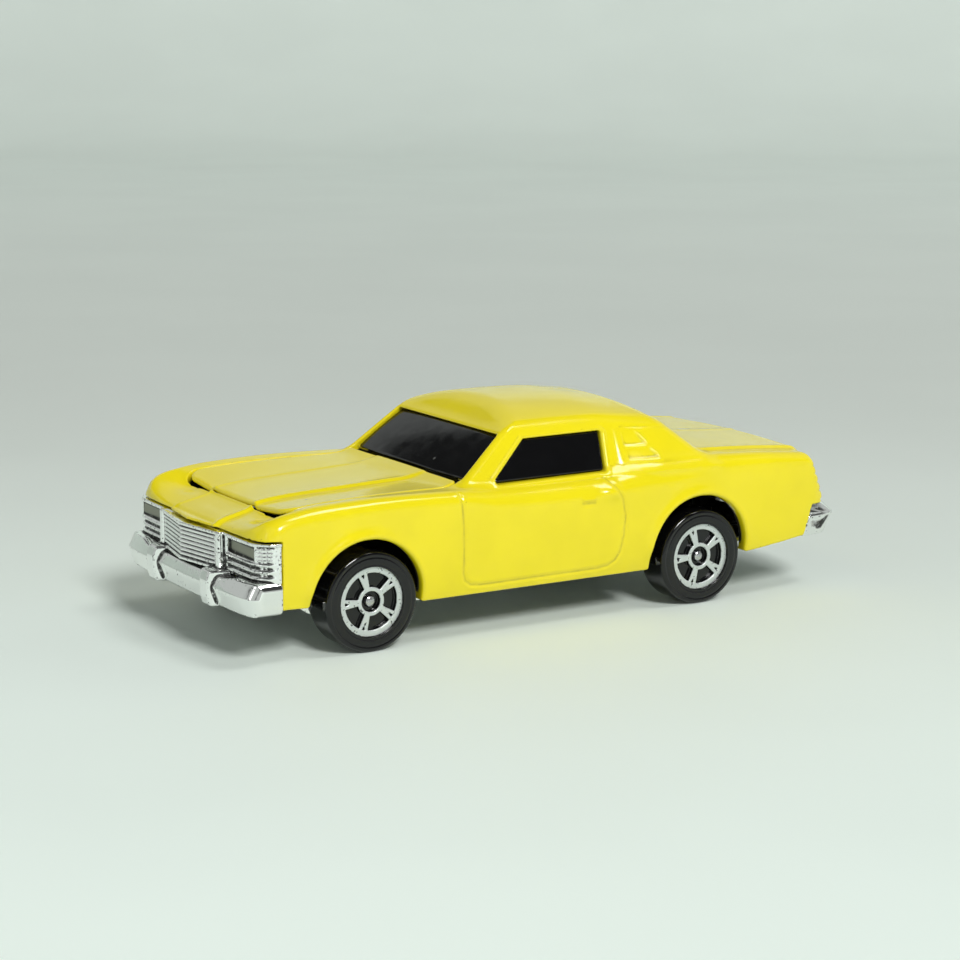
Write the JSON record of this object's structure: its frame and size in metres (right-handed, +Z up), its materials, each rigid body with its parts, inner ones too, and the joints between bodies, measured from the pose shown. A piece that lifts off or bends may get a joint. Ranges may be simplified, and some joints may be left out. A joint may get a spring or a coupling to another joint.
{
  "type": "toy car",
  "caption": "Die-cast toy coupe with an opening bonnet, black glazing, a plated base with grille and bumpers, and free-rolling spoked wheels on plain axles.",
  "frame": {"origin": "on the floor under the middle of the car's bounding box", "axes": "+X towards the car's nose, +Y to its left, +Z up"},
  "size_m": [0.076, 0.0308, 0.0228],
  "materials": {
    "paint": "gloss",
    "window_plastic": "gloss",
    "plating": "polished",
    "wheel_plastic": "gloss",
    "axle_steel": "satin"
  },
  "bodies": {
    "car": {"body_shell": "paint", "glazing": "window_plastic", "chassis": "plating"},
    "bonnet": {"bonnet": "paint"},
    "front_wheelset": {"front_axle": "axle_steel", "wheel_front_left": "wheel_plastic", "wheel_front_right": "wheel_plastic"},
    "rear_wheelset": {"rear_axle": "axle_steel", "wheel_rear_left": "wheel_plastic", "wheel_rear_right": "wheel_plastic"}
  },
  "joints": [
    {"name": "bonnet_hinge", "type": "hinge", "parent": "car", "child": "bonnet", "pos_m": [0.01239, 0, 0.01431], "axis": [0, -1, 0], "range_deg": [0, 55]},
    {"name": "front_axle_spin", "type": "hinge", "parent": "car", "child": "front_wheelset", "pos_m": [0.0231, 0, 0.0052], "axis": [0, 1, 0], "continuous": true},
    {"name": "rear_axle_spin", "type": "hinge", "parent": "car", "child": "rear_wheelset", "pos_m": [-0.01771, 0, 0.0052], "axis": [0, 1, 0], "continuous": true}
  ]
}
